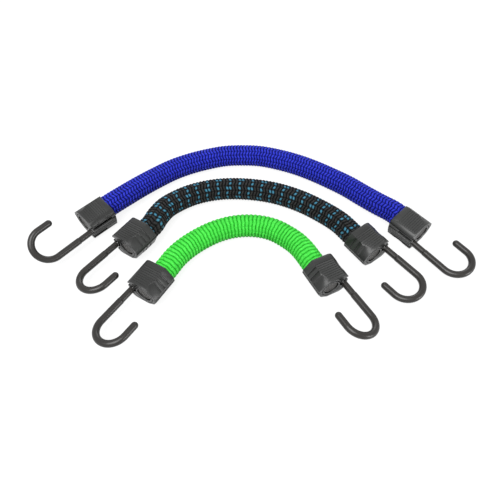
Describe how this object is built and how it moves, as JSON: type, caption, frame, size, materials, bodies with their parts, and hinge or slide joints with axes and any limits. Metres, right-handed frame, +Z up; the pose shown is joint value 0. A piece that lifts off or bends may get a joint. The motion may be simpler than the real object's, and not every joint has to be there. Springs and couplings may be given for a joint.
{
  "type": "bungee cord set",
  "caption": "Set of short elastic cords in braided sleeves, each with moulded end caps and coated wire hooks, lying as nested arcs.",
  "frame": {"origin": "centre of the set on the surface that it lies on", "axes": "+X across the set, hooks towards -Y, +Z up from the surface"},
  "size_m": [0.2349, 0.1376, 0.0212],
  "materials": {
    "blue_sleeve": "braided polyester sleeve",
    "black_sleeve": "braided polyester sleeve with light blue tracer",
    "green_sleeve": "braided polyester sleeve",
    "rubber_core": "natural rubber strands",
    "cap_plastic": "moulded, fine grip ribs",
    "hook_steel": "drawn wire",
    "hook_coat": "dipped vinyl"
  },
  "bodies": {
    "blue_left": {"blue_left_cap_upper": "cap_plastic", "blue_left_cap_lower": "cap_plastic", "blue_left_hook_wire": "hook_steel", "blue_left_hook_coating": "hook_coat", "blue_sleeve": "blue_sleeve", "blue_core": "rubber_core"},
    "blue_right": {"blue_right_cap_upper": "cap_plastic", "blue_right_cap_lower": "cap_plastic", "blue_right_hook_wire": "hook_steel", "blue_right_hook_coating": "hook_coat"},
    "black_left": {"black_left_cap_upper": "cap_plastic", "black_left_cap_lower": "cap_plastic", "black_left_hook_wire": "hook_steel", "black_left_hook_coating": "hook_coat", "black_sleeve": "black_sleeve", "black_core": "rubber_core"},
    "black_right": {"black_right_cap_upper": "cap_plastic", "black_right_cap_lower": "cap_plastic", "black_right_hook_wire": "hook_steel", "black_right_hook_coating": "hook_coat"},
    "green_left": {"green_left_cap_upper": "cap_plastic", "green_left_cap_lower": "cap_plastic", "green_left_hook_wire": "hook_steel", "green_left_hook_coating": "hook_coat", "green_sleeve": "green_sleeve", "green_core": "rubber_core"},
    "green_right": {"green_right_cap_upper": "cap_plastic", "green_right_cap_lower": "cap_plastic", "green_right_hook_wire": "hook_steel", "green_right_hook_coating": "hook_coat"}
  },
  "joints": [
    {"name": "black_lift", "type": "slide", "parent": "blue_left", "child": "black_left", "axis": [0, 0, 1], "range_m": [0, 0.12]},
    {"name": "green_lift", "type": "slide", "parent": "blue_left", "child": "green_left", "axis": [0, 0, 1], "range_m": [0, 0.12]},
    {"name": "blue_stretch", "type": "slide", "parent": "blue_left", "child": "blue_right", "axis": [0.6465, -0.7629, 0], "range_m": [0, 0.11], "stiffness_N_per_m": 900, "deforming": ["blue_sleeve", "blue_core"]},
    {"name": "black_stretch", "type": "slide", "parent": "black_left", "child": "black_right", "axis": [0.58, -0.8146, 0], "range_m": [0, 0.08], "stiffness_N_per_m": 1250, "deforming": ["black_sleeve", "black_core"]},
    {"name": "green_stretch", "type": "slide", "parent": "green_left", "child": "green_right", "axis": [0.4729, -0.8811, 0], "range_m": [0, 0.06], "stiffness_N_per_m": 1700, "deforming": ["green_sleeve", "green_core"]}
  ]
}
